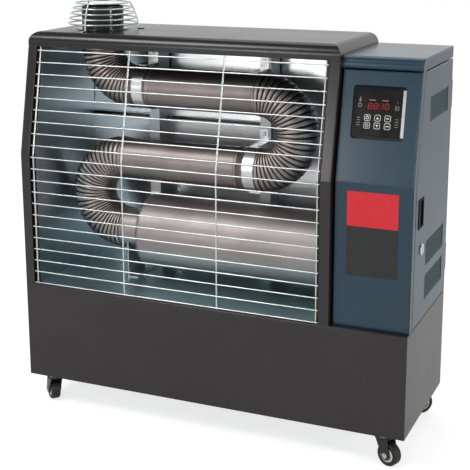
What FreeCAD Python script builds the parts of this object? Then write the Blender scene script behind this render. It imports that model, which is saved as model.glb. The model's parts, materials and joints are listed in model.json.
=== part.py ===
import FreeCAD, Part
import math
import os
from FreeCAD import Vector

# An upright infrared diesel heater on swivel casters: a base with the fuel tank, a radiant
# chamber with hot pipes behind a wire guard, and a burner cabinet with a side door.
# Millimetres, +Z up, the front faces -Y, origin at the bottom centre of the whole part.

os.makedirs("parts", exist_ok=True)

# Overall body
body_width = 900.0
body_depth = 320.0
sheet = 1.2
base_height = 224.0
knee_rise = 305.0          # base top to the bend where the front starts to lean back
lean_setback = 49.5        # how far the front has moved back at the lid seat
cabinet_width = 167.0      # burner cabinet at the right of the chamber
lid_height = 32.0
lid_round = 22.0
lid_lip = 14.0             # inward lip under the front wall of the lid
post_width = 22.0          # front flanges at both ends of the chamber

# Chamber lining
liner_inset = 30.0         # inner wall to the outer end face
liner_front_gap = 14.0     # front edge of the lining behind the front face
reflector_depth = 280.0    # front face to the rear reflector
reflector_split = 356.0    # base top to the slot between both reflectors
reflector_slot = 8.0
reflector_lip = 9.0
reflector_lean = 11.0      # how far the top edge of the upper reflector leans back
floor_front_gap = 12.0

# Pipes
pipe_depth = 165.0         # front face to the plane of all pipe axes
pipe_radius = 46.5
pipe_wall = 1.5
drum_radius = 85.0
drum_wall = 2.0
drum_shoulder = 12.0
neck_length = 54.0         # end of the left bend to the shoulder of the drum
drum_rise = 111.0
pipe_spacing = 167.5       # drum to middle pipe, and middle pipe to top pipe
top_pipe_drop = 96.0       # seat of the chamber lid down to the top pipe
left_bend_x = 178.0        # left end face to the centre of the left return bend
right_bend_inset = 216.0   # chamber end to the centre of the right return bend
flue_x = 126.5
flue_bend_radius = 84.0
cuff_radius = 47.5
short_cuff = 6.0
long_cuff = 40.0           # cuffs that carry a band clamp
rib_crest = 49.0
rib_root = 45.0
bend_bore = 44.0
ribs_half_turn = 28
groove_share = 0.14        # half width of a groove as a share of one rib
bead_height = 2.6
bead_width = 8.5
bead_gap = 1.0             # end of a pipe to its bead
clamp_width = 26.0
flue_clamp_gap = 10.5      # ribs of the flue bend to its clamp
right_clamp_gap = 1.0      # ribs of the right return bend to its clamp
clamp_thickness = 1.2
clamp_play = 0.2
clamp_ear = 7.0

# Pipe supports
upright_width = 26.0
upright_front = 226.0
left_upright_gap = 2.0     # left upright to the shoulder of the drum
right_upright_gap = 27.0   # centre of the right return bend to the far edge of the right upright
bracket_thickness = 1.5
bracket_height = 30.0
bracket_screw_rise = 19.5
bracket_play = 0.2
saddle_thickness = 3.0
saddle_half_width = 40.0
saddle_foot = 26.0
saddle_gap = 14.0          # end of the left bend to the saddle
drum_gap = 4.0
screw_head_radius = 4.0
screw_head_height = 2.2

# Flue and its guard
flue_radius = 47.5
flue_wall = 1.5
flue_height = 53.0         # lid top to the rim of the flue
flue_hole_gap = 1.0
flue_collar_width = 11.0
flue_collar_height = 2.0
cage_wire = 1.6            # wire radius
cage_rings = 5
cage_first_rise = 14.5
cage_ring_pitch = 11.5
cage_foot_radius = 77.0
cage_top_radius = 60.0
cage_foot_length = 14.0
cage_posts = 3
cage_first_post = 30.0     # direction of the first post, degrees from +X
cage_taper = 1.6           # above 1 the guard draws in faster towards its top

# Wire guard
bar_radius = 1.5           # horizontal wires
stay_radius = 2.1          # bent upright wires
bar_count = 21
bar_first_rise = 3.5
bar_last_drop = 9.0        # lid seat to the top wire, along the front
stay_count = 4
guard_end_gap = 2.0        # guard ends to the chamber posts
stay_inset = 5.0
guard_depth = 2.4          # front face to the axes of the horizontal wires
weld_bite = 0.6            # how far crossing wires are welded into each other

# Burner cabinet
cabinet_recess = 14.0
front_joint = 5.0          # open joint between the chamber and the front panel
cabinet_drop = 14.0        # seat of the chamber lid down to the seat of the cabinet lid
cabinet_lid_height = 24.0
cabinet_lid_round = 17.0
lid_joint = 2.5            # open joint between the lid and the face of the front panel
front_return = 20.0        # how far the front panel turns onto the side
keeper_depth = 14.0
rear_return = 12.0

# Side door
door_gap = 1.6             # front edge of the door to the front panel
door_top_gap = 3.0
door_foot_gap = 2.2
door_return = 12.0
rear_gap = 2.0
vent_margin = 5.0
vent_first_depth = 127.0   # front face to the front edge of the vents
vent_length = 155.0
vent_height = 52.0
low_vent_rise = 41.0
mid_vent_rise = 115.0
top_vent_drop = 110.0      # seat of the cabinet lid down to the low edge of the top vent
screen_thickness = 1.0
slit_pitch = 5.0
slit_width = 2.6
pull_depth = 77.5          # front face to the centre of the recessed pull
pull_rise = 239.0
pull_length = 55.0
pull_width = 34.0
pull_cup = 20.0
pull_wall = 1.6
pull_flange = 3.0
pull_proud = 1.2
pull_grip = 12.0
lock_depth = 89.0
lock_rise = 160.0
lock_radius = 9.0
lock_head_radius = 12.5
lock_proud = 3.0
lock_play = 0.05
lock_head_gap = 0.3
cam_gap = 1.0
cam_thickness = 3.0
cam_width = 14.0
cam_reach = 62.0
key_slot_length = 9.0
key_slot_width = 1.6
key_slot_depth = 1.5
hinge_radius = 3.4
hinge_pin_radius = 1.8
hinge_play = 0.05
hinge_inset = 3.0          # door face to the hinge axis
hinge_offset = 4.2         # rear face to the hinge axis
hinge_length = 60.0
hinge_gap = 0.4
hinge_leaf = 1.5
hinge_leaf_gap = 0.5
hinge_reach = 40.0
low_hinge_rise = 50.0
high_hinge_drop = 110.0

# Control panel, on the leaning front of the cabinet
panel_shift = -0.5         # cabinet middle to the centre of the control panel
panel_drop = 84.0          # seat of the cabinet lid down to the centre of the control panel
panel_width = 108.0
panel_height = 107.0
panel_proud = 6.0
panel_edge = 7.5
panel_chamfer = 5.0
panel_corner = 7.0
panel_body = 22.0
panel_body_margin = 7.0
panel_body_wall = 2.4
panel_hole_gap = 0.5
fascia_sink = 2.6          # fascia face below the rim of the bezel
fascia_thickness = 2.0
fascia_gap = 0.2
display_width = 49.0
display_height = 18.0
display_rise = 13.0
display_recess = 0.5
key_size = 13.4
key_round = 3.0
key_column_gap = 7.4
key_row_gap = 0.3          # between the rims of the keys
key_first_drop = 10.5      # panel centre down to the upper key row
key_gap = 0.35
key_proud = 0.8
key_flange = 0.8           # rim that holds a key behind the fascia
key_flange_thickness = 0.8
key_rest_gap = 0.05

# Plain two-field plate on the front of the cabinet
plate_shift = 1.0          # cabinet middle to the middle of the plate
plate_width = 106.0
plate_low = 113.0
plate_high = 288.0
plate_thickness = 0.6

# Fuel tank
tank_side_gap = 26.0
tank_front_gap = 26.0
tank_height = 168.0
tank_round = 22.0
tank_wall = 1.5
pan_thickness = 2.0
pan_lip = 18.0
filler_radius = 25.0
filler_wall = 1.5
filler_depth = 66.0
filler_shift = 1.5         # cabinet middle to the filler neck
filler_rise = 46.0         # base top to the rim of the filler neck
filler_hole_gap = 0.5
cap_wall = 3.0
cap_height = 24.0
cap_play = 0.3
cap_grips = 16
cap_grip_radius = 2.2

# Burner
burner_flange_radius = 60.0
burner_flange = 5.0
burner_radius = 54.0
burner_length = 74.0
burner_wall = 2.0
flame_tube_radius = 40.0
flame_tube_wall = 1.5
flame_tube_length = 60.0
flame_hole_gap = 1.0
fan_radius = 44.0
fan_width = 30.0
fan_blades = 24
fan_blade_thickness = 1.2
fan_blade_depth = 9.0
fan_hub_radius = 9.0
fan_disc = 2.0
fan_gap = 8.0
shaft_radius = 4.0
shaft_play = 0.05
shaft_hole_gap = 1.0
motor_radius = 33.0
motor_length = 44.0
motor_cap = 8.0
intake_slots = 10
intake_length = 22.0
intake_width = 6.0
pump_x = 40.0
pump_rear_gap = 58.0       # rear face to the middle of the pump
pump_length = 58.0
pump_width = 44.0
pump_height = 40.0
pump_foot = 4.0
pump_foot_margin = 8.0
pump_coil_radius = 16.0
pump_coil_height = 34.0

# Power cable inlet at the rear
inlet_x = 60.0
inlet_rise = 40.0
inlet_bore = 4.5
inlet_radius = 11.0
inlet_thread_radius = 8.0
inlet_hole_gap = 0.2
inlet_proud = 12.0
inlet_inside = 9.0

# Casters
caster_inset_x = 48.0
caster_inset_y = 28.0
wheel_radius = 25.0
wheel_width = 21.0
hub_radius = 16.5
hub_width = 19.0
tread_round = 4.0
wheel_side_gap = 1.5
wheel_top_gap = 5.7        # top of a wheel to the head of its kingpin
axle_radius = 3.0
axle_play = 0.05
axle_head_radius = 6.0
axle_head = 2.5
fork_thickness = 2.4
fork_top = 3.2
fork_crown_radius = 18.0
leg_width = 31.0
leg_foot_radius = 10.5
trail = 13.0
race_radius = 16.0
race_height = 6.0
swivel_gap = 0.3
kingpin_radius = 4.0
kingpin_play = 0.05
kingpin_head_radius = 7.0
kingpin_head = 2.0
caster_plate_x = 56.0
caster_plate_y = 46.0
caster_plate = 2.5
front_left_turn = 138.0    # direction in which each wheel trails, from +X
front_right_turn = -23.0
rear_left_turn = 118.0
rear_right_turn = 40.0

# Places worked out from the sizes above
left = -(body_width + lock_proud) / 2
right = left + body_width
front = -(body_depth + inlet_proud) / 2
back = front + body_depth
caster_height = (2 * wheel_radius + wheel_top_gap + kingpin_head + 2 * swivel_gap + fork_top
                 + race_height + caster_plate)
base_bottom = caster_height
deck = base_bottom + base_height
chamber_rise = drum_rise + 2 * pipe_spacing + top_pipe_drop
knee = deck + knee_rise
lid_seat = deck + chamber_rise
lid_top = lid_seat + lid_height
lean = math.atan2(lean_setback, chamber_rise - knee_rise)
chamber_width = body_width - cabinet_width
end = left + chamber_width
cabinet_rise = chamber_rise - cabinet_drop
cabinet_seat = deck + cabinet_rise
pipe_y = front + pipe_depth
drum_z = deck + drum_rise
middle_z = drum_z + pipe_spacing
top_z = middle_z + pipe_spacing
bend_radius = pipe_spacing / 2
right_bend_x = chamber_width - right_bend_inset
drum_start = left_bend_x + short_cuff + neck_length
left_upright_x = drum_start - left_upright_gap - upright_width
right_upright_x = right_bend_x - right_upright_gap
saddle_x = left_bend_x + short_cuff + saddle_gap
reflector_y = front + reflector_depth
clamp_outer = cuff_radius + clamp_play + clamp_thickness
top_vent_rise = cabinet_rise - top_vent_drop
high_hinge_rise = cabinet_rise - high_hinge_drop
panel_x = cabinet_width / 2 + panel_shift
panel_rise = cabinet_rise - panel_drop
key_column_pitch = key_size + key_column_gap
key_row_pitch = key_size + 2 * key_flange + key_row_gap
plate_x = cabinet_width / 2 + plate_shift
filler_x = cabinet_width / 2 + filler_shift
pump_depth = body_depth - pump_rear_gap


def box(x0, x1, y0, y1, z0, z1):
    return Part.makeBox(x1 - x0, y1 - y0, z1 - z0, Vector(x0, y0, z0))


def rod(radius, start, finish):
    return Part.makeCylinder(radius, start.distanceToPoint(finish), start, finish - start)


def tube(outer, inner, start, finish):
    return rod(outer, start, finish).cut(rod(inner, start, finish))


def prism(points, x0, x1):
    """Extrude a closed (y, z) outline from x0 to x1."""
    ring = [Vector(x0, y, z) for y, z in points]
    face = Part.Face(Part.makePolygon(ring + ring[:1]))
    return face.extrude(Vector(x1 - x0, 0, 0))


def fuse(shapes):
    return shapes[0].multiFuse(shapes[1:]).removeSplitter()


def lean_y(z):
    """How far the front has moved back at height z."""
    return max(0.0, z - knee) * math.tan(lean)


def front_line(shift, low, high):
    """(y, z) points up the front face, moved back by shift."""
    return [(front + shift + lean_y(z), z) for z in (low, knee, high)]


def save(name, *solids):
    shape = solids[0] if len(solids) == 1 else Part.makeCompound(list(solids))
    shape.exportStep("parts/" + name + ".step")


# Base: walls, floor pan, deck
def base_shell():
    outer = box(left, right, front, back, base_bottom, deck - sheet)
    inner = box(left + sheet, right - sheet, front + sheet, back - sheet, base_bottom, deck)
    return outer.cut(inner)


def base_floor_pan():
    outer = box(left + sheet, right - sheet, front + sheet, back - sheet, base_bottom, base_bottom + pan_lip)
    edge = sheet + pan_thickness
    inner = box(left + edge, right - edge, front + edge, back - edge, base_bottom + pan_thickness, deck)
    return outer.cut(inner)


def filler_axis(z):
    return Vector(end + filler_x, front + filler_depth, z)


def base_deck():
    plate = box(left, right, front, back, deck - sheet, deck)
    hole = rod(filler_radius + filler_hole_gap, filler_axis(base_bottom), filler_axis(deck + sheet))
    return plate.cut(hole)


# Fuel tank with its filler neck and screw cap
tank_floor = base_bottom + pan_thickness
tank_top = tank_floor + tank_height
filler_rim = deck + filler_rise


def tank_block(inset):
    x0 = left + tank_side_gap + inset
    x1 = right - tank_side_gap - inset
    y0 = front + tank_front_gap + inset
    y1 = back - tank_front_gap - inset
    block = box(x0, x1, y0, y1, tank_floor + inset, tank_top - inset)
    upright_edges = [e for e in block.Edges if abs(e.tangentAt(e.FirstParameter).z) > 0.9]
    return block.makeFillet(tank_round - inset, upright_edges)


def fuel_tank():
    neck = rod(filler_radius, filler_axis(tank_top - tank_wall), filler_axis(filler_rim))
    bore = rod(filler_radius - filler_wall, filler_axis(tank_top - tank_height / 2), filler_axis(filler_rim))
    return tank_block(0).fuse(neck).cut(tank_block(tank_wall)).cut(bore)


def fuel_cap():
    low = filler_rim + cap_play - cap_height + cap_wall
    high = filler_rim + cap_play + cap_wall
    outer_radius = filler_radius + cap_play + cap_wall
    cap = rod(outer_radius, filler_axis(low), filler_axis(high))
    cap = cap.cut(rod(filler_radius + cap_play, filler_axis(low), filler_axis(high - cap_wall)))
    grip = rod(cap_grip_radius, filler_axis(low), filler_axis(high))
    grips = []
    for number in range(cap_grips):
        copy = grip.copy()
        copy.translate(Vector(outer_radius + cap_grip_radius / 3, 0, 0))
        copy.rotate(filler_axis(0), Vector(0, 0, 1), 360.0 * number / cap_grips)
        grips.append(copy)
    return cap.cut(Part.makeCompound(grips))


# Chamber walls: end panels with flanges, lining, floor, rear panel, reflectors
def flanged_end(outer_face, inner_edge, inward):
    """End sheet with a front and a rear flange; inward is +1 at the left end and -1 at the right."""
    outline = front_line(0, deck, lid_seat) + [(back, lid_seat), (back, deck)]
    hollow = front_line(sheet, deck, lid_seat) + [(back - sheet, lid_seat), (back - sheet, deck)]
    solid = prism(outline, outer_face, inner_edge)
    return solid.cut(prism(hollow, outer_face + inward * sheet, inner_edge + inward))


def flame_axis(x):
    return Vector(x, pipe_y, drum_z)


def left_end_panel():
    return flanged_end(left, left + post_width, 1)


def right_partition():
    panel = flanged_end(end, end - post_width, -1)
    return panel.cut(rod(flame_tube_radius + flame_hole_gap, flame_axis(end - post_width), flame_axis(end)))


def liner(outer_face, inner_face, inward):
    """Inner side wall with flanges back to the end panel."""
    outline = front_line(liner_front_gap, deck, lid_seat) + [(reflector_y, lid_seat), (reflector_y, deck)]
    hollow = front_line(liner_front_gap + sheet, deck, lid_seat)
    hollow = hollow + [(reflector_y - sheet, lid_seat), (reflector_y - sheet, deck)]
    solid = prism(outline, outer_face, inner_face)
    return solid.cut(prism(hollow, outer_face - inward, inner_face - inward * sheet))


def left_liner():
    return liner(left + sheet, left + liner_inset, 1)


def right_liner():
    wall = liner(end - sheet, end - liner_inset, -1)
    return wall.cut(rod(drum_radius + drum_gap / 2, flame_axis(end - 2 * liner_inset), flame_axis(end)))


def chamber_floor():
    y0 = front + floor_front_gap
    return box(left + liner_inset, end - liner_inset, y0, reflector_y, deck, deck + sheet)


def rear_panel():
    return box(left + sheet, end - sheet, back - 2 * sheet, back - sheet, deck, lid_seat)


def reflector(low, high, setback, lip_low):
    """Rear sheet, its top edge set back, with a forward lip along the slot between both reflectors."""
    outline = [(reflector_y, low), (reflector_y + setback, high),
               (reflector_y + setback + sheet, high), (reflector_y + sheet, low)]
    plate = prism(outline, left + sheet, end - sheet)
    lip_front = reflector_y - reflector_lip
    lip_back = reflector_y + sheet
    lip = box(left + liner_inset, end - liner_inset, lip_front, lip_back, lip_low, lip_low + sheet)
    return plate.fuse(lip).cut(upright_block(left_upright_x)).cut(upright_block(right_upright_x))


def lower_reflector():
    high = deck + reflector_split
    return reflector(deck, high, 0, high - sheet)


def upper_reflector():
    low = deck + reflector_split + reflector_slot
    return reflector(low, lid_seat, reflector_lean, low)


# Uprights behind the pipes, with brackets and the saddle under the drum neck
def upright_block(x):
    return box(left + x, left + x + upright_width, front + upright_front, reflector_y, deck + sheet, lid_seat)


def upright(x):
    x0 = left + x + sheet
    y0 = front + upright_front + sheet
    hollow = box(x0, x0 + upright_width - 2 * sheet, y0, back, deck, lid_seat + sheet)
    notch = rod(drum_radius + drum_gap, flame_axis(left + drum_start - drum_gap), flame_axis(end))
    return upright_block(x).cut(hollow).cut(notch)


def saddle():
    x0 = left + saddle_x
    plate = box(x0, x0 + saddle_thickness, pipe_y - saddle_half_width, pipe_y + saddle_half_width,
                deck + sheet, drum_z)
    foot = box(x0, x0 + saddle_foot, pipe_y - saddle_half_width, pipe_y + saddle_half_width,
               deck + sheet, deck + sheet + saddle_thickness)
    neck = rod(pipe_radius + bracket_play, flame_axis(left), flame_axis(end))
    return plate.fuse(foot).cut(neck)


def screw(base, direction):
    head = Part.makeCylinder(screw_head_radius, screw_head_height, base, direction)
    return head.makeChamfer(screw_head_height / 3, [head.Edges[0]])


def bracket(x, width, seat):
    """Tongue lying on a pipe at height seat, turned up and screwed to the front of an upright."""
    x0 = left + x
    face = front + upright_front
    tongue = box(x0, x0 + width, pipe_y, face, seat, seat + bracket_thickness)
    tab = box(x0, x0 + width, face - bracket_thickness, face, seat, seat + bracket_height)
    middle = Vector(x0 + width / 2, face - bracket_thickness, seat + bracket_screw_rise)
    return [tongue.fuse(tab), screw(middle, Vector(0, -1, 0))]


def pipe_brackets():
    right_width = right_bend_x - short_cuff - right_upright_x - bracket_play
    solids = bracket(left_upright_x, upright_width, top_z + clamp_outer + bracket_play)
    solids += bracket(right_upright_x, right_width, top_z + pipe_radius + bracket_play)
    solids += bracket(right_upright_x, right_width, middle_z + clamp_outer + bracket_play)
    solids += bracket(left_upright_x, upright_width, drum_z + pipe_radius + bracket_play)
    return solids


# Pipes, drum, corrugated bends, band clamps
def turned(points, z):
    """Solid of revolution about the pipe axis at height z; points are (x, radius)."""
    ring = [Vector(left + x, pipe_y, z + radius) for x, radius in points]
    face = Part.Face(Part.makePolygon(ring + ring[:1]))
    return face.revolve(Vector(left, pipe_y, z), Vector(1, 0, 0), 360)


def straight_pipe(start, finish, z, bead):
    high = pipe_radius + bead_height
    slope = bead_width / 4
    bead_end = bead + bead_width
    outer = [(start, pipe_radius), (bead, pipe_radius), (bead + slope, high), (bead_end - slope, high),
             (bead_end, pipe_radius), (finish, pipe_radius)]
    inner = [(finish, pipe_radius - pipe_wall), (start, pipe_radius - pipe_wall)]
    return turned(outer + inner, z)


neck_start = left_bend_x + short_cuff
middle_end = right_bend_x - long_cuff
top_start = flue_x + flue_bend_radius + long_cuff
top_end = right_bend_x - short_cuff


def middle_pipe():
    return straight_pipe(neck_start, middle_end, middle_z, middle_end - bead_gap - bead_width)


def top_pipe():
    return straight_pipe(top_start, top_end, top_z, top_start + bead_gap)


def combustion_drum():
    finish = chamber_width - sheet
    steps = 6
    outer = [(neck_start, pipe_radius), (drum_start, pipe_radius)]
    inner = [(neck_start, pipe_radius - pipe_wall), (drum_start + drum_wall, pipe_radius - pipe_wall)]
    for step in range(steps + 1):
        turn = math.pi / 2 * step / steps
        along = drum_start + drum_shoulder * (1 - math.cos(turn))
        across = drum_radius - drum_shoulder * (1 - math.sin(turn))
        outer.append((along, across))
        inner.append((along + drum_wall * math.cos(turn), across - drum_wall * math.sin(turn)))
    outer.append((finish, drum_radius))
    inner.append((finish, drum_radius - drum_wall))
    return turned(outer + inner[::-1], drum_z)


def corrugated_bend(centre, radius, start_turn, total_turn, first_cuff, last_cuff):
    """Bend in the XZ plane; turns are degrees about -Y, 0 pointing along +X from the centre."""
    def circle(turn, along, size):
        angle = math.radians(turn)
        outward = Vector(math.cos(angle), 0, math.sin(angle))
        onward = Vector(-math.sin(angle), 0, math.cos(angle))
        middle = centre + outward * radius + onward * along
        ring = Part.Circle()
        ring.Axis = onward
        ring.Center = middle
        ring.Radius = size
        ring.XAxis = Vector(0, 1, 0)
        return Part.Wire(ring.toShape())

    def pipe(size_list):
        return Part.makeLoft(size_list, True, True)

    ribs = round(ribs_half_turn * total_turn / 180.0)
    step = total_turn / ribs
    finish = start_turn + total_turn
    wires = [circle(start_turn, -first_cuff, cuff_radius), circle(start_turn, 0, cuff_radius)]
    for number in range(ribs):
        base = start_turn + step * number
        wires.append(circle(base + step * groove_share / 2, 0, rib_root))
        wires.append(circle(base + step * groove_share * 1.5, 0, rib_crest))
        wires.append(circle(base + step * (1 - groove_share * 1.5), 0, rib_crest))
        wires.append(circle(base + step * (1 - groove_share / 2), 0, rib_root))
    wires += [circle(finish, 0, cuff_radius), circle(finish, last_cuff, cuff_radius)]
    outer = pipe(wires)
    first = circle(start_turn, -first_cuff, bend_bore)
    first_bore = Part.Face(first)
    angle = math.radians(start_turn)
    entry = Vector(-math.sin(angle), 0, math.cos(angle))
    bore = first_bore.extrude(entry * first_cuff)
    mouth = Part.Face(circle(start_turn, 0, bend_bore))
    swept = mouth.revolve(centre, Vector(0, -1, 0), total_turn)
    angle = math.radians(finish)
    leave = Vector(-math.sin(angle), 0, math.cos(angle))
    tail = Part.Face(circle(finish, 0, bend_bore)).extrude(leave * last_cuff)
    return outer.cut(bore).cut(swept).cut(tail)


def lower_elbow():
    centre = Vector(left + left_bend_x, pipe_y, (drum_z + middle_z) / 2)
    return corrugated_bend(centre, bend_radius, 90, 180, short_cuff, short_cuff)


def right_elbow():
    centre = Vector(left + right_bend_x, pipe_y, (middle_z + top_z) / 2)
    return corrugated_bend(centre, bend_radius, -90, 180, long_cuff, short_cuff)


flue_base = top_z + flue_bend_radius + short_cuff


def flue_elbow():
    centre = Vector(left + flue_x + flue_bend_radius, pipe_y, top_z + flue_bend_radius)
    bend = corrugated_bend(centre, flue_bend_radius, 180, 90, short_cuff, long_cuff)
    return bend


def band_clamp(start, z):
    """Band round a cuff with a screw through its two ears."""
    x0 = left + start
    axis_low = Vector(x0, pipe_y, z)
    axis_high = Vector(x0 + clamp_width, pipe_y, z)
    inner = cuff_radius + clamp_play
    band = tube(clamp_outer, inner, axis_low, axis_high)
    ear = box(x0, x0 + clamp_width, pipe_y - 2 * clamp_thickness, pipe_y + 2 * clamp_thickness,
              z - clamp_outer - clamp_ear, z - inner - clamp_thickness / 2)
    slot = box(x0, x0 + clamp_width, pipe_y - clamp_thickness, pipe_y + clamp_thickness,
               z - clamp_outer - clamp_ear, z - inner + clamp_thickness)
    mid = Vector(x0 + clamp_width / 2, pipe_y, z - clamp_outer - clamp_ear / 2)
    half = Vector(0, 4 * clamp_thickness, 0)
    bolt = rod(clamp_ear / 4, mid - half, mid + half)
    return fuse([band.fuse(ear).cut(slot), bolt])


def band_clamps():
    flue_side = flue_x + flue_bend_radius + flue_clamp_gap
    right_side = right_bend_x - right_clamp_gap - clamp_width
    return [band_clamp(flue_side, top_z), band_clamp(right_side, middle_z)]


# Chamber lid, flue and flue guard
def flue_axis(z):
    return Vector(left + flue_x, pipe_y, z)


def lid_block(inset):
    y0 = front + lean_setback + inset
    block = box(left + inset, end - inset, y0, back - inset, lid_seat, lid_top - inset)
    top_edges = [e for e in block.Edges
                 if e.BoundBox.ZMin > lid_top - inset - sheet / 2 and e.BoundBox.YMin < back - inset - sheet]
    return block.makeFillet(lid_round - inset, top_edges)


def chamber_lid():
    lip = box(left, end, front + lean_setback, front + lean_setback + lid_lip, lid_seat, lid_seat + sheet)
    shell = lid_block(0).cut(lid_block(sheet)).fuse(lip.common(lid_block(0)))
    return shell.cut(rod(flue_radius + flue_hole_gap, flue_axis(lid_seat), flue_axis(lid_top + sheet)))


def flue_stub():
    rim = lid_top + flue_height
    pipe = tube(flue_radius, flue_radius - flue_wall, flue_axis(flue_base), flue_axis(rim))
    collar_radius = flue_radius + flue_collar_width
    collar_top = lid_top + flue_collar_height
    collar = tube(collar_radius, flue_radius - flue_wall, flue_axis(lid_top), flue_axis(collar_top))
    return fuse([pipe, collar])


def cage_radius(rise):
    """Radius of the tapering guard at a height above the lid."""
    top_rise = cage_first_rise + cage_ring_pitch * (cage_rings - 1)
    share = max(0.0, rise - cage_first_rise) / (top_rise - cage_first_rise)
    return cage_foot_radius + (cage_top_radius - cage_foot_radius) * share ** cage_taper


def flue_guard():
    rises = [cage_first_rise + cage_ring_pitch * number for number in range(cage_rings)]
    solids = [Part.makeTorus(cage_radius(rise), cage_wire, flue_axis(lid_top + rise)) for rise in rises]
    outside = 2 * cage_wire - weld_bite
    foot = cage_foot_radius + outside
    corners = [(foot + cage_foot_length, cage_wire), (foot, cage_wire)]
    corners += [(cage_radius(rise) + outside, rise) for rise in rises]
    points = [flue_axis(lid_top + rise) + Vector(radius, 0, 0) for radius, rise in corners]
    pieces = [rod(cage_wire, low, high) for low, high in zip(points, points[1:])]
    pieces += [Part.makeSphere(cage_wire, point) for point in points[1:]]
    post = fuse(pieces)
    for number in range(cage_posts):
        copy = post.copy()
        copy.rotate(flue_axis(0), Vector(0, 0, 1), cage_first_post + 360.0 * number / cage_posts)
        solids.append(copy)
    return fuse(solids)


# Wire guard in the chamber opening
def guard_point(x, distance, depth):
    """Point on the guard: distance is measured up the front from the deck, depth behind the front."""
    if distance <= knee_rise:
        return Vector(x, front + depth, deck + distance)
    beyond = distance - knee_rise
    y = front + depth / math.cos(lean) + beyond * math.sin(lean)
    return Vector(x, y, knee + beyond * math.cos(lean))


def wire_guard():
    length = knee_rise + (chamber_rise - knee_rise) / math.cos(lean)
    x0 = left + post_width + guard_end_gap
    x1 = end - post_width - guard_end_gap
    last = length - bar_last_drop
    solids = []
    for number in range(bar_count):
        distance = bar_first_rise + (last - bar_first_rise) * number / (bar_count - 1)
        start = guard_point(x0, distance, guard_depth)
        finish = guard_point(x1, distance, guard_depth)
        solids.append(rod(bar_radius, start, finish))
    stay_depth = guard_depth + bar_radius + stay_radius - weld_bite
    trim = box(left, end, front, back, deck, lid_seat)
    for number in range(stay_count):
        x = x0 + stay_inset + (x1 - x0 - 2 * stay_inset) * number / (stay_count - 1)
        bend = guard_point(x, knee_rise, stay_depth)
        solids.append(rod(stay_radius, guard_point(x, 0, stay_depth), bend))
        solids.append(Part.makeSphere(stay_radius, bend))
        upper = guard_point(x, length + lid_lip, stay_depth)
        solids.append(rod(stay_radius, bend, upper).common(trim))
    return fuse(solids)


# Burner cabinet: front panel, rear panel, lid
def cabinet_band(shift, depth):
    low = front_line(cabinet_recess + shift, deck, cabinet_seat)
    high = front_line(cabinet_recess + depth, deck, cabinet_seat)
    return low + high[::-1]


def on_panel(shape):
    """Move a shape made about the origin, facing -Y, onto the leaning front of the cabinet."""
    centre_z = deck + panel_rise
    centre = Vector(end + panel_x, front + cabinet_recess + lean_y(centre_z), centre_z)
    turn = FreeCAD.Rotation(Vector(1, 0, 0), -math.degrees(lean))
    moved = shape.copy()
    moved.Placement = FreeCAD.Placement(centre, turn)
    return moved


def panel_block(half_width, half_height, outward, inward):
    """Block about the panel centre, from outward in front of the cabinet face to inward behind it."""
    return box(-half_width, half_width, -outward, inward, -half_height, half_height)


body_half_width = panel_width / 2 - panel_body_margin
body_half_height = panel_height / 2 - panel_body_margin


def cabinet_front():
    start = end + front_joint
    channel = prism(cabinet_band(0, front_return), start, right)
    channel = channel.cut(prism(cabinet_band(sheet, front_return + sheet), start + sheet, right - sheet))
    keeper = prism(cabinet_band(front_return - sheet, front_return), right - keeper_depth, right)
    hole_half_width = body_half_width + panel_hole_gap
    hole_half_height = body_half_height + panel_hole_gap
    hole = panel_block(hole_half_width, hole_half_height, panel_body, panel_body)
    face_y = front + cabinet_recess + lean_y(cabinet_seat)
    joint = box(start + sheet, right - sheet, face_y - lid_joint, face_y + 2 * sheet,
                cabinet_seat - lid_joint, cabinet_seat)
    return channel.fuse(keeper).cut(on_panel(hole)).cut(joint).removeSplitter()


def inlet_axis(y):
    return Vector(end + inlet_x, y, deck + inlet_rise)


def cabinet_rear():
    edge = right - door_return - rear_gap
    plate = box(end, edge, back - sheet, back, deck, cabinet_seat)
    turned_edge = box(edge - sheet, edge, back - rear_return, back, deck, cabinet_seat)
    hole = rod(inlet_thread_radius + inlet_hole_gap, inlet_axis(back - rear_return), inlet_axis(back + sheet))
    return plate.fuse(turned_edge).cut(hole).removeSplitter()


def cabinet_lid_block(inset):
    y0 = front + cabinet_recess + lean_y(cabinet_seat) + inset
    top = cabinet_seat + cabinet_lid_height - inset
    block = box(end + inset, right - inset, y0, back - inset, cabinet_seat, top)
    front_edge = [e for e in block.Edges
                  if e.BoundBox.ZMin > top - sheet / 2 and e.BoundBox.YMax < y0 + sheet / 2]
    return block.makeFillet(cabinet_lid_round - inset, front_edge)


def cabinet_lid():
    return cabinet_lid_block(0).cut(cabinet_lid_block(sheet))


# Side door with vents, recessed pull, lock and hinges
def vent_rises():
    return [low_vent_rise, mid_vent_rise, top_vent_rise]


def vent_block(rise, margin, x0, x1):
    y0 = front + vent_first_depth
    z0 = deck + rise
    return box(x0, x1, y0 - margin, y0 + vent_length + margin, z0 - margin, z0 + vent_height + margin)


def lock_axis(x):
    return Vector(x, front + lock_depth, deck + lock_rise)


def pull_block(margin, x0, x1):
    y = front + pull_depth
    z = deck + pull_rise
    half_width = pull_width / 2 + margin
    half_length = pull_length / 2 + margin
    return box(x0, x1, y - half_width, y + half_width, z - half_length, z + half_length)


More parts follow.
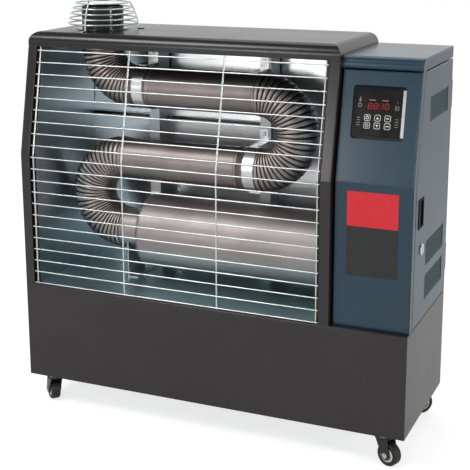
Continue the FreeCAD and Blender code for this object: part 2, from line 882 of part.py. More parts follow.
def side_door():
    low = deck + door_foot_gap
    high = cabinet_seat - door_top_gap
    edge = cabinet_recess + front_return + door_gap
    outline = front_line(edge, low, high) + [(back, high), (back, low)]
    low_in = low + sheet
    high_in = high - sheet
    hollow = front_line(edge + sheet, low_in, high_in) + [(back - sheet, high_in), (back - sheet, low_in)]
    door = prism(outline, right - door_return, right)
    door = door.cut(prism(hollow, right - door_return - sheet, right - sheet))
    for rise in vent_rises():
        door = door.cut(vent_block(rise, 0, right - door_return, right))
    door = door.cut(pull_block(0, right - door_return, right))
    return door.cut(rod(lock_radius + lock_play, lock_axis(right - door_return), lock_axis(right)))


def vent_screens():
    x1 = right - sheet
    screens = []
    for rise in vent_rises():
        screen = vent_block(rise, vent_margin, x1 - screen_thickness, x1)
        count = int((vent_length - slit_width) / slit_pitch)
        first = front + vent_first_depth + (vent_length - slit_pitch * count) / 2
        slits = []
        for number in range(count):
            y = first + slit_pitch * number + (slit_pitch - slit_width) / 2
            low = deck + rise + slit_width
            high = deck + rise + vent_height - slit_width
            slits.append(box(x1 - 2 * screen_thickness, right, y, y + slit_width, low, high))
        screens.append(screen.cut(Part.makeCompound(slits)))
    return screens


def door_pull():
    flange = pull_block(pull_flange, right, right + pull_proud)
    cup = pull_block(0, right - pull_cup, right + pull_proud)
    hollow = pull_block(-pull_wall, right - pull_cup + pull_wall, right + pull_proud)
    y0 = front + pull_depth - pull_width / 2
    grip = pull_block(0, right - pull_wall, right + pull_proud)
    grip = grip.common(box(right - pull_cup, right + pull_proud, y0, y0 + pull_grip, deck, lid_seat))
    return fuse([flange.fuse(cup).cut(hollow), grip])


cam_face = right - keeper_depth - cam_gap


def lock_barrel():
    body = rod(lock_radius, lock_axis(cam_face), lock_axis(right + lock_head_gap))
    head = rod(lock_head_radius, lock_axis(right + lock_head_gap), lock_axis(right + lock_proud))
    head = head.makeChamfer((lock_proud - lock_head_gap) / 3, [head.Edges[0]])
    centre = lock_axis(right + lock_proud)
    slot = box(centre.x - key_slot_depth, centre.x,
               centre.y - key_slot_width / 2, centre.y + key_slot_width / 2,
               centre.z - key_slot_length / 2, centre.z + key_slot_length / 2)
    return fuse([body, head]).cut(slot)


def lock_cam():
    low = lock_axis(cam_face - cam_thickness)
    disc = rod(lock_radius, low, lock_axis(cam_face))
    arm = box(low.x, cam_face, low.y - cam_width / 2, low.y + cam_width / 2, low.z - cam_reach, low.z)
    return fuse([disc, arm])


def hinge_axis(z):
    return Vector(right - hinge_inset, back + hinge_offset, z)


def hinge_parts(rise):
    """Two fixed knuckles with the pin, and the door's knuckle between them."""
    low = deck + rise
    third = hinge_length / 3
    pin = rod(hinge_pin_radius, hinge_axis(low), hinge_axis(low + hinge_length))
    fixed = [pin]
    axis_x = right - hinge_inset
    seat_edge = right - door_return - rear_gap
    fixed.append(box(right - hinge_reach, seat_edge, back, back + hinge_leaf, low, low + hinge_length))
    for z in (low, low + 2 * third):
        fixed.append(rod(hinge_radius, hinge_axis(z), hinge_axis(z + third)))
        fixed.append(box(seat_edge, axis_x, back + hinge_leaf_gap, back + hinge_leaf, z, z + third))
    z0 = low + third + hinge_gap
    z1 = low + 2 * third - hinge_gap
    hole = rod(hinge_pin_radius + hinge_play, hinge_axis(z0), hinge_axis(z1))
    door_side = [rod(hinge_radius, hinge_axis(z0), hinge_axis(z1))]
    door_side.append(box(right - door_return, axis_x, back, back + hinge_leaf, z0, z1))
    leaf_relief = box(seat_edge, axis_x + hinge_radius, back, back + hinge_offset + hinge_radius,
                      low + third, low + 2 * third)
    fixed_leaf = fuse(fixed[1:]).cut(leaf_relief)
    return fuse([fixed_leaf, pin]), fuse(door_side).cut(hole)


# Control panel with its six keys
def control_bezel():
    frame = panel_block(panel_width / 2, panel_height / 2, panel_proud, 0)
    corner_edges = [e for e in frame.Edges if abs(e.tangentAt(e.FirstParameter).y) > 0.9]
    frame = frame.makeFillet(panel_corner, corner_edges)
    rim = [e for e in frame.Edges if e.BoundBox.YMax < -panel_proud + sheet / 2]
    frame = frame.makeChamfer(panel_chamfer, rim)
    shell = frame.fuse(panel_block(body_half_width, body_half_height, 0, panel_body))
    window_half_width = panel_width / 2 - panel_edge
    window_half_height = panel_height / 2 - panel_edge
    window = panel_block(window_half_width, window_half_height, panel_proud, -fascia_back())
    pocket = panel_block(body_half_width - panel_body_wall, body_half_height - panel_body_wall,
                         panel_proud, panel_body - panel_body_wall)
    return on_panel(shell.cut(window).cut(pocket).removeSplitter())


def fascia_face():
    """Distance of the fascia's face in front of the cabinet face."""
    return panel_proud - fascia_sink


def fascia_back():
    return fascia_face() - fascia_thickness


def key_centres():
    for row in range(2):
        for column in range(3):
            yield (column - 1) * key_column_pitch, -key_first_drop - row * key_row_pitch


def key_block(centre, margin, outward, inward):
    half = key_size / 2 + margin
    block = panel_block(half, half, outward, inward)
    corner_edges = [e for e in block.Edges if abs(e.tangentAt(e.FirstParameter).y) > 0.9]
    block = block.makeFillet(key_round + margin, corner_edges)
    block.translate(Vector(centre[0], 0, centre[1]))
    return block


def control_fascia():
    margin = panel_edge + fascia_gap
    plate = panel_block(panel_width / 2 - margin, panel_height / 2 - margin, fascia_face(), -fascia_back())
    display_back = display_recess - fascia_face()
    display = panel_block(display_width / 2, display_height / 2, fascia_face(), display_back)
    display.translate(Vector(0, 0, display_rise))
    plate = plate.cut(display)
    for centre in key_centres():
        plate = plate.cut(key_block(centre, key_gap, fascia_face(), -fascia_back()))
    return on_panel(plate)


def keys():
    solids = []
    rim_front = fascia_back() - key_rest_gap
    for centre in key_centres():
        button = key_block(centre, 0, fascia_face() + key_proud, -rim_front)
        rim = key_block(centre, key_flange, rim_front, key_flange_thickness - rim_front)
        solids.append(on_panel(fuse([button, rim])))
    return solids


def front_plate():
    x0 = end + plate_x - plate_width / 2
    y = front + cabinet_recess
    return box(x0, x0 + plate_width, y - plate_thickness, y, deck + plate_low, deck + plate_high)


# Burner on the partition: housing with flame tube, fan wheel, motor, fuel pump
def burner_axis(offset):
    return Vector(end + offset, pipe_y, drum_z)


def burner_housing():
    body_end = burner_flange + burner_length
    flange = rod(burner_flange_radius, burner_axis(0), burner_axis(burner_flange))
    body = rod(burner_radius, burner_axis(burner_flange), burner_axis(body_end))
    hollow = rod(burner_radius - burner_wall, burner_axis(burner_flange), burner_axis(body_end - burner_wall))
    snout = rod(flame_tube_radius, burner_axis(-flame_tube_length), burner_axis(0))
    bore_radius = flame_tube_radius - flame_tube_wall
    bore = rod(bore_radius, burner_axis(-flame_tube_length), burner_axis(burner_flange))
    end_wall = burner_axis(body_end - burner_wall)
    shaft_hole = rod(shaft_radius + shaft_hole_gap, end_wall, burner_axis(body_end))
    housing = fuse([flange, body, snout]).cut(hollow).cut(bore).cut(shaft_hole)
    slots = []
    middle = body_end - burner_wall - fan_gap - fan_width / 2
    for number in range(intake_slots):
        slot = box(end + middle - intake_length / 2, end + middle + intake_length / 2,
                   pipe_y - intake_width / 2, pipe_y + intake_width / 2,
                   drum_z + burner_radius - 2 * burner_wall, drum_z + burner_radius + burner_wall)
        slot.rotate(burner_axis(0), Vector(1, 0, 0), 360.0 * number / intake_slots)
        slots.append(slot)
    return housing.cut(Part.makeCompound(slots))


fan_end = burner_flange + burner_length - burner_wall - fan_gap
fan_start = fan_end - fan_width


def blower_wheel():
    hub = rod(fan_hub_radius, burner_axis(fan_start), burner_axis(fan_end))
    disc = rod(fan_radius, burner_axis(fan_end - fan_disc), burner_axis(fan_end))
    ring_inner = fan_radius - fan_blade_depth
    ring = tube(fan_radius, ring_inner, burner_axis(fan_start), burner_axis(fan_start + fan_disc))
    blades = []
    x0 = end + fan_start + fan_disc / 2
    x1 = end + fan_end - fan_disc / 2
    z0 = drum_z + fan_radius - fan_blade_depth + fan_blade_thickness
    z1 = drum_z + fan_radius - fan_blade_thickness
    for number in range(fan_blades):
        half = fan_blade_thickness / 2
        blade = box(x0, x1, pipe_y - half, pipe_y + half, z0, z1)
        blade.rotate(burner_axis(0), Vector(1, 0, 0), 360.0 * (number + 0.5) / fan_blades)
        blades.append(blade)
    wheel = fuse([hub, disc, ring] + blades)
    return wheel.cut(rod(shaft_radius + shaft_play, burner_axis(fan_start), burner_axis(fan_end)))


def burner_motor():
    seat = burner_flange + burner_length
    body = rod(motor_radius, burner_axis(seat), burner_axis(seat + motor_length))
    body = body.makeFillet(motor_cap / 2, [body.Edges[0]])
    cap_end = seat + motor_length + motor_cap
    cap = rod(motor_radius - motor_cap, burner_axis(seat + motor_length), burner_axis(cap_end))
    shaft = rod(shaft_radius, burner_axis(fan_start), burner_axis(seat))
    return fuse([body, cap, shaft])


def fuel_pump():
    x0 = end + pump_x
    y0 = front + pump_depth - pump_width / 2
    margin = pump_foot_margin
    foot = box(x0 - margin, x0 + pump_length + margin, y0, y0 + pump_width, deck, deck + pump_foot)
    body = box(x0, x0 + pump_length, y0, y0 + pump_width, deck + pump_foot, deck + pump_foot + pump_height)
    coil_base = Vector(x0 + pump_length / 2, front + pump_depth, deck + pump_foot + pump_height)
    coil = rod(pump_coil_radius, coil_base, coil_base + Vector(0, 0, pump_coil_height))
    return fuse([foot, body, coil])


def cable_inlet():
    collar = rod(inlet_radius, inlet_axis(back), inlet_axis(back + inlet_proud))
    collar = collar.makeFillet(inlet_radius / 4, [collar.Edges[0]])
    thread = rod(inlet_thread_radius, inlet_axis(back - inlet_inside), inlet_axis(back))
    bore = rod(inlet_bore, inlet_axis(back - inlet_inside), inlet_axis(back + inlet_proud))
    return fuse([collar, thread]).cut(bore)


# Casters: each is made at the origin with its wheel trailing along +X, then turned and placed
race_top = base_bottom - caster_plate
race_low = race_top - race_height
crown_top = race_low - swivel_gap
crown_low = crown_top - fork_top
leg_inner = wheel_width / 2 + wheel_side_gap
axle_end = leg_inner + fork_thickness


def place_caster(shape, side_x, side_y, turn):
    x = (right - caster_inset_x) if side_x > 0 else (left + caster_inset_x)
    y = (back - caster_inset_y) if side_y > 0 else (front + caster_inset_y)
    moved = shape.copy()
    moved.rotate(Vector(0, 0, 0), Vector(0, 0, 1), turn)
    moved.translate(Vector(x, y, 0))
    return moved


def caster_plate_solid():
    half_x = caster_plate_x / 2
    half_y = caster_plate_y / 2
    plate = box(-half_x, half_x, -half_y, half_y, race_top, base_bottom)
    race = rod(race_radius, Vector(0, 0, race_low), Vector(0, 0, race_top))
    pin_low = crown_low - swivel_gap
    pin = rod(kingpin_radius, Vector(0, 0, pin_low), Vector(0, 0, race_low))
    head = rod(kingpin_head_radius, Vector(0, 0, pin_low - kingpin_head), Vector(0, 0, pin_low))
    return fuse([plate, race, pin, head])


def wheel_axis(y):
    return Vector(trail, y, wheel_radius)


def caster_fork():
    crown = rod(fork_crown_radius, Vector(0, 0, crown_low), Vector(0, 0, crown_top))
    bridge = box(-leg_width / 2, leg_width / 2, -axle_end, axle_end, crown_low, crown_top)
    solids = [crown, bridge]
    foot = leg_foot_radius
    for side in (-1, 1):
        y = side * leg_inner
        corners = [(-leg_width / 2, crown_top), (leg_width / 2, crown_top), (trail + foot, wheel_radius),
                   (trail - foot, wheel_radius)]
        ring = [Vector(x, y, z) for x, z in corners]
        leg = Part.Face(Part.makePolygon(ring + ring[:1])).extrude(Vector(0, side * fork_thickness, 0))
        solids.append(leg)
        solids.append(rod(foot, wheel_axis(y), wheel_axis(y + side * fork_thickness)))
    hole = rod(axle_radius + axle_play, wheel_axis(-axle_end), wheel_axis(axle_end))
    pin_hole = rod(kingpin_radius + kingpin_play, Vector(0, 0, crown_low), Vector(0, 0, crown_top))
    return fuse(solids).cut(hole).cut(pin_hole)


def caster_axle():
    shaft = rod(axle_radius, wheel_axis(-axle_end), wheel_axis(axle_end))
    near = rod(axle_head_radius, wheel_axis(-axle_end - axle_head), wheel_axis(-axle_end))
    far = rod(axle_head_radius, wheel_axis(axle_end), wheel_axis(axle_end + axle_head))
    return fuse([near, shaft, far])


def caster_tyre():
    half = wheel_width / 2
    tyre = rod(wheel_radius, wheel_axis(-half), wheel_axis(half))
    rims = [e for e in tyre.Edges if e.Closed]
    return tyre.makeFillet(tread_round, rims).cut(rod(hub_radius, wheel_axis(-half), wheel_axis(half)))


def caster_hub():
    half = hub_width / 2
    return tube(hub_radius, axle_radius + axle_play, wheel_axis(-half), wheel_axis(half))


def casters():
    corners = {"front_left": (-1, -1, front_left_turn), "front_right": (1, -1, front_right_turn),
               "rear_left": (-1, 1, rear_left_turn), "rear_right": (1, 1, rear_right_turn)}
    plates = []
    for name, (side_x, side_y, turn) in corners.items():
        plates.append(place_caster(caster_plate_solid(), side_x, side_y, 0))
        fork = place_caster(caster_fork(), side_x, side_y, turn)
        axle = place_caster(caster_axle(), side_x, side_y, turn)
        tyre = place_caster(caster_tyre(), side_x, side_y, turn)
        hub = place_caster(caster_hub(), side_x, side_y, turn)
        save("fork_" + name, fork, axle)
        save("wheel_" + name, tyre, hub)
    save("caster_plates", *plates)


# Every piece is written to its own file
for make in (base_shell, base_floor_pan, base_deck, fuel_tank, fuel_cap, left_end_panel, right_partition,
             left_liner, right_liner, chamber_floor, rear_panel, lower_reflector, upper_reflector,
             middle_pipe, top_pipe, combustion_drum, lower_elbow, right_elbow, flue_elbow,
             chamber_lid, flue_stub, flue_guard, wire_guard, cabinet_front, cabinet_rear, cabinet_lid,
             side_door, door_pull, lock_barrel, lock_cam, control_bezel, control_fascia, front_plate,
             burner_housing, blower_wheel, burner_motor, fuel_pump, cable_inlet):
    save(make.__name__, make())
for make in (pipe_brackets, band_clamps, vent_screens):
    save(make.__name__, *make())
save("pipe_supports", upright(left_upright_x), upright(right_upright_x), saddle())
low_hinge = hinge_parts(low_hinge_rise)
high_hinge = hinge_parts(high_hinge_rise)
save("hinge_fixed_leaves", low_hinge[0], high_hinge[0])
save("hinge_door_leaves", low_hinge[1], high_hinge[1])
key_names = ("power", "up", "mode", "timer", "down", "set")
for name, solid in zip(key_names, keys()):
    save("key_" + name, solid)
casters()
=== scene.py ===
import json
import math

import bmesh
import bpy
from mathutils import Matrix, Vector


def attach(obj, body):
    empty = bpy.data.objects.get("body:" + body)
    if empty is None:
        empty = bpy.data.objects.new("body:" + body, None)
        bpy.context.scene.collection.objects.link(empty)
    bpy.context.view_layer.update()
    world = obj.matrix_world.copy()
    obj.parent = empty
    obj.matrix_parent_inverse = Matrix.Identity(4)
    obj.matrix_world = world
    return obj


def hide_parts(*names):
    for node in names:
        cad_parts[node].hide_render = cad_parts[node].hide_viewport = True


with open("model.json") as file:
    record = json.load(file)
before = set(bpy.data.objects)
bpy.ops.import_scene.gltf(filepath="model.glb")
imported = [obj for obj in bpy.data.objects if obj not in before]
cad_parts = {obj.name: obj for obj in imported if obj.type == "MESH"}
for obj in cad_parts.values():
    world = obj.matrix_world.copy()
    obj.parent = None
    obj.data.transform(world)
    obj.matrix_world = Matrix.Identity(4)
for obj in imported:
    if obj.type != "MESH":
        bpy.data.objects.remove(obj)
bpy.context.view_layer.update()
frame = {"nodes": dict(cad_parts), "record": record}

nodes = frame["nodes"]
MM = 0.001

# Places and sizes of the heater in millimetres, as in its solids
LEFT, FRONT, DECK, CHAMBER_END = -451.5, -166.0, 294.0, 281.5
KNEE_RISE, LEAN_RISE, LEAN_SETBACK = 305.0, 237.0, 49.5
LEAN = math.atan2(LEAN_SETBACK, LEAN_RISE)
PIPE_Y, DRUM_Z, MIDDLE_Z, TOP_Z = -1.0, 405.0, 572.5, 740.0
LEFT_BEND_X, RIGHT_BEND_X, FLUE_BEND_X = LEFT + 178, LEFT + 517, LEFT + 210.5
RETURN_BEND_RADIUS, FLUE_BEND_RADIUS = 83.75, 84.0
PLEATS_PER_HALF_TURN = 28
NECK_WELD_X, NECK_WELD_HALF = LEFT + 229, 6.0
PLATE_PARTING_Z = DECK + 216
WHEEL_RADIUS, TREAD_INSIDE, HUB_RADIUS, BEARING_RADIUS = 25.0, 16.6, 15.9, 7.5
AXLE_HEAD_RADIUS, FORK_OUTSIDE = 6.3, 14.5
PANEL_X, PANEL_RISE, CABINET_RECESS = CHAMBER_END + 83, 444.0, 14.0

# Tones of the dark coat on the base, the posts and the lining's flanges
CHARCOAL = ("#251f21", "#2f292b")


def linear(code):
    """sRGB hex to a linear colour with full alpha."""
    parts = [int(code[i:i + 2], 16) / 255 for i in (1, 3, 5)]
    return tuple(p / 12.92 if p <= 0.04045 else ((p + 0.055) / 1.055) ** 2.4 for p in parts) + (1.0,)


def add(tree, kind, sockets=None, **settings):
    """Add one shader node; sockets holds values or links by input name or number."""
    node = tree.nodes.new(kind)
    for key, value in settings.items():
        setattr(node, key, value)
    for name, value in (sockets or {}).items():
        if isinstance(value, bpy.types.NodeSocket):
            tree.links.new(value, node.inputs[name])
        else:
            node.inputs[name].default_value = value
    return node


def place_on(tree):
    """Place on the part in metres."""
    return add(tree, "ShaderNodeTexCoord").outputs["Object"]


def new_material(name, **sockets):
    """New material: gives its tree, its surface shader and the place on the part."""
    material = bpy.data.materials.new(name)
    material.use_nodes = True
    tree = material.node_tree
    shader = tree.nodes["Principled BSDF"]
    for key, value in sockets.items():
        shader.inputs[key.replace("_", " ")].default_value = value
    return material, tree, shader, place_on(tree)


def feed(tree, shader, **links):
    """Link sockets into a shader; an input's name is written with _ for each space."""
    for key, value in links.items():
        tree.links.new(value, shader.inputs[key.replace("_", " ")])


def calc(tree, operation, *values):
    """Result of one maths node on values or links."""
    return add(tree, "ShaderNodeMath", dict(enumerate(values)), operation=operation).outputs["Value"]


def noise(tree, place, size_mm, detail=2.0):
    """Noise from 0 to 1 whose features are size_mm across."""
    sockets = {"Vector": place, "Scale": 1000.0 / size_mm, "Detail": detail}
    return add(tree, "ShaderNodeTexNoise", sockets).outputs["Fac"]


def two_tone(tree, fac, low, high, start=0.35, stop=0.65):
    """Colour between two hex tones."""
    ramp = add(tree, "ShaderNodeValToRGB", {"Fac": fac})
    ramp.color_ramp.elements[0].position = start
    ramp.color_ramp.elements[0].color = linear(low)
    ramp.color_ramp.elements[1].position = stop
    ramp.color_ramp.elements[1].color = linear(high)
    return ramp.outputs["Color"]


def between(tree, fac, low, high):
    """Number between two values."""
    return add(tree, "ShaderNodeMapRange", {"Value": fac, "To Min": low, "To Max": high}).outputs["Result"]


def rise(tree, value, start, stop):
    """0 where the value is at start, 1 where it is at stop."""
    sockets = {"Value": value, "From Min": start, "From Max": stop}
    return add(tree, "ShaderNodeMapRange", sockets).outputs["Result"]


def blend(tree, fac, low, high, kind="MIX"):
    """Colour between two linked colours."""
    node = add(tree, "ShaderNodeMix", {0: fac, 6: low, 7: high}, data_type="RGBA", blend_type=kind)
    return node.outputs[2]


def split(tree, vector):
    """The X, Y and Z outputs of a vector."""
    return add(tree, "ShaderNodeSeparateXYZ", {"Vector": vector}).outputs


def soft_edge(tree, edge_mm, samples=4):
    """Normals that round a sharp edge to a radius of edge_mm."""
    return add(tree, "ShaderNodeBevel", {"Radius": edge_mm * MM}, samples=samples).outputs["Normal"]


def bumped(tree, height, strength, depth_mm, under=None):
    """Normals of a shallow relief, laid over other normals where these are given."""
    sockets = {"Height": height, "Strength": strength, "Distance": depth_mm * MM}
    if under is not None:
        sockets["Normal"] = under
    return add(tree, "ShaderNodeBump", sockets).outputs["Normal"]


# Polyester powder coat on pressed steel sheet: sprayed and baked, with a fine even orange peel
# and folded edges that catch the light. The grain of about 0.5 mm is drawn at 2.5 mm to show.
# The offset brings the product of the two noises to the middle of the tones.
def powder_coat(name, low, high, rough, edge_mm=1.3):
    material, tree, shader, place = new_material(name, IOR=1.5)
    grain = noise(tree, place, size_mm=2.5, detail=3.0)
    cloud = noise(tree, place, size_mm=180)
    offset = 0.22
    mixed = calc(tree, "MULTIPLY_ADD", grain, cloud, offset)
    edge = soft_edge(tree, edge_mm, samples=12)
    feed(tree, shader, Base_Color=two_tone(tree, mixed, low, high, start=0.3),
         Roughness=between(tree, cloud, rough - 0.04, rough + 0.05),
         Normal=bumped(tree, grain, strength=0.07, depth_mm=0.3, under=edge))
    return material


# Rolled stainless sheet or drawn tube: bright metal with fine drawing lines along one axis
# and faint blotches. Drawing lines of 0.2 mm are drawn at about 2 mm to show.
def drawn_steel(name, low, high, rough, along="X", blotch_mm=70, edge_mm=0.8, streak=0.07):
    material, tree, shader, place = new_material(name, Metallic=1.0)
    stretch = {"X": (0.02, 1, 1), "Y": (1, 0.02, 1), "Z": (1, 1, 0.02)}[along]
    drawn = add(tree, "ShaderNodeMapping", {"Vector": place, "Scale": stretch})
    lines = noise(tree, drawn.outputs["Vector"], size_mm=2.0, detail=4.0)
    blotch = noise(tree, place, blotch_mm, detail=3.0)
    line_share, blotch_share = 0.45, 0.55
    mixed = calc(tree, "MULTIPLY_ADD", blotch, blotch_share, calc(tree, "MULTIPLY", lines, line_share))
    edge = soft_edge(tree, edge_mm)
    feed(tree, shader, Base_Color=two_tone(tree, mixed, low, high),
         Roughness=between(tree, lines, rough - streak, rough + streak),
         Normal=bumped(tree, lines, strength=0.7 * streak, depth_mm=0.2, under=edge))
    return material


# Moulded plastic: a faint flow pattern in the gloss and a spark-eroded grain of about 0.4 mm,
# drawn at 1.5 mm to show. A deep grain scatters the gloss, which a lower sheen gives.
def moulded_plastic(name, low, high, rough, grain_depth=0.1, edge_mm=0.6, sheen=0.5):
    material, tree, shader, place = new_material(name, IOR=1.49, Specular_IOR_Level=sheen)
    grain = noise(tree, place, size_mm=1.5)
    flow = noise(tree, place, size_mm=25)
    edge = soft_edge(tree, edge_mm)
    feed(tree, shader, Base_Color=two_tone(tree, flow, low, high),
         Roughness=between(tree, flow, rough - 0.04, rough + 0.06),
         Normal=bumped(tree, grain, grain_depth, depth_mm=0.2, under=edge))
    return material


# Chrome plate: bright cold metal, from a mirror to a soft haze by its roughness, with pits of
# about 1 mm in the gloss.
def chrome_plate(name, low, high, rough):
    material, tree, shader, place = new_material(name, Metallic=1.0)
    pits = noise(tree, place, size_mm=1.0)
    haze = noise(tree, place, size_mm=40)
    feed(tree, shader, Base_Color=two_tone(tree, haze, low, high),
         Roughness=between(tree, pits, rough - 0.04, rough + 0.08))
    return material


# Enamel plate in two plain fields, red above charcoal, which meet at a sharp line.
def two_field_enamel(name, parting_z):
    material, tree, shader, place = new_material(name, IOR=1.5)
    above = calc(tree, "GREATER_THAN", split(tree, place)["Z"], parting_z * MM)
    specks = noise(tree, place, size_mm=6, detail=3.0)
    red = two_tone(tree, specks, "#d3202b", "#dc2530")
    charcoal = two_tone(tree, specks, "#18191b", "#202123")
    feed(tree, shader, Base_Color=blend(tree, above, charcoal, red),
         Roughness=between(tree, specks, 0.26, 0.36))
    return material


def from_axle(tree, place, centre, axle):
    """Distances across and along an axle, in metres."""
    def vector(operation, *values):
        return add(tree, "ShaderNodeVectorMath", dict(enumerate(values)), operation=operation).outputs

    off = vector("SUBTRACT", place, centre)["Vector"]
    along = vector("PROJECT", off, axle)["Vector"]
    return vector("DISTANCE", off, along)["Value"], vector("LENGTH", along)["Value"]


# Caster wheel: black rubber tread on a cream nylon hub with a dark bearing at the axle.
def caster_wheel_finish(name, centre, axle):
    material, tree, shader, place = new_material(name, IOR=1.5)
    across, _ = from_axle(tree, place, centre, axle)
    bands = add(tree, "ShaderNodeValToRGB", {"Fac": calc(tree, "DIVIDE", across, WHEEL_RADIUS * MM)})
    ramp = bands.color_ramp
    ramp.interpolation = "CONSTANT"
    ramp.elements[0].color = linear("#2b2a28")
    ramp.elements[1].position = BEARING_RADIUS / WHEEL_RADIUS
    ramp.elements[1].color = linear("#efe7d8")
    for radius, code in ((HUB_RADIUS, "#3a3834"), (TREAD_INSIDE, "#151515")):
        ramp.elements.new(radius / WHEEL_RADIUS).color = linear(code)
    scuffs = noise(tree, place, size_mm=3, detail=4.0)
    rubbed = two_tone(tree, scuffs, "#6a6a6a", "#ffffff")
    wear = 0.18
    feed(tree, shader, Base_Color=blend(tree, wear, bands.outputs["Color"], rubbed, "MULTIPLY"),
         Roughness=between(tree, scuffs, 0.42, 0.6),
         Normal=bumped(tree, scuffs, strength=0.15, depth_mm=0.3))
    return material


def second_tone(material, mask, low, high, patch_mm):
    """Lay a second pair of tones over a material's colour where the mask is 1."""
    tree = material.node_tree
    shader = tree.nodes["Principled BSDF"]
    first = shader.inputs["Base Color"].links[0].from_socket
    second = two_tone(tree, noise(tree, place_on(tree), patch_mm), low, high)
    feed(tree, shader, Base_Color=blend(tree, mask, first, second))


# Caster fork: black coated pressed steel with bright zinc-plated axle ends outside its legs.
def fork_finish(name, centre, axle):
    material = powder_coat(name, "#141415", "#1d1d1e", 0.32, edge_mm=0.6)
    tree = material.node_tree
    across, along = from_axle(tree, place_on(tree), centre, axle)
    near = calc(tree, "LESS_THAN", across, AXLE_HEAD_RADIUS * MM)
    outside = calc(tree, "GREATER_THAN", along, FORK_OUTSIDE * MM)
    axle_end = calc(tree, "MULTIPLY", near, outside)
    second_tone(material, axle_end, "#a9b2b8", "#d3dade", patch_mm=2)
    feed(tree, tree.nodes["Principled BSDF"], Metallic=axle_end)
    return material


# Screen-printed ink: a thin satin film whose cover is a little uneven.
def printed_ink(name, low, high):
    material, tree, shader, place = new_material(name, IOR=1.45)
    film = noise(tree, place, size_mm=2)
    feed(tree, shader, Base_Color=two_tone(tree, film, low, high),
         Roughness=between(tree, film, 0.35, 0.45))
    return material


# Display segment: tinted plastic over a small lamp, with a weak glow that is a little uneven. The unlit
# segments use it too, with a fainter painted glow.
def lit_segment(name, low, high, glow):
    material, tree, shader, place = new_material(name, IOR=1.45, Emission_Strength=glow)
    colour = two_tone(tree, noise(tree, place, size_mm=3), low, high)
    feed(tree, shader, Base_Color=colour, Emission_Color=colour)
    return material


# Corrugated stainless: the drawn steel with painted shade, a dark tone laid into the grooves between the
# pleats.
def bellows_with_painted_groove_shade(name):
    material = drawn_steel(name, "#988e8a", "#b2a8a4", 0.42, "Y", blotch_mm=40)
    groove = add(material.node_tree, "ShaderNodeAttribute", attribute_name="groove")
    # Painted shade: dark tones where the groove attribute is high, for the shade that falls between the
    # pleats.
    second_tone(material, groove.outputs["Fac"], "#191412", "#251e1b", patch_mm=15)
    return material


# Burner drum: heat-toned steel with a browned ring where its neck is welded on.
def welded_drum(name):
    material = drawn_steel(name, "#9a9290", "#ada5a3", 0.48, "X", blotch_mm=90)
    tree = material.node_tree
    across = split(tree, place_on(tree))["X"]
    ring = calc(tree, "COMPARE", across, NECK_WELD_X * MM, NECK_WELD_HALF * MM)
    second_tone(material, ring, "#2f2725", "#4a3f3b", patch_mm=8)
    return material


# Chamber lining: polished steel whose front flanges are coated dark like the posts beside them.
def edged_liner(name):
    material = drawn_steel(name, "#b6cad4", "#cadce4", 0.32, "Z", blotch_mm=160)
    tree = material.node_tree
    facing = split(tree, add(tree, "ShaderNodeTexCoord").outputs["Normal"])["Y"]
    facing_front = -0.7
    flange = calc(tree, "LESS_THAN", facing, facing_front)
    second_tone(material, flange, *CHARCOAL, patch_mm=20)
    feed(tree, tree.nodes["Principled BSDF"], Metallic=calc(tree, "SUBTRACT", 1.0, flange))
    return material


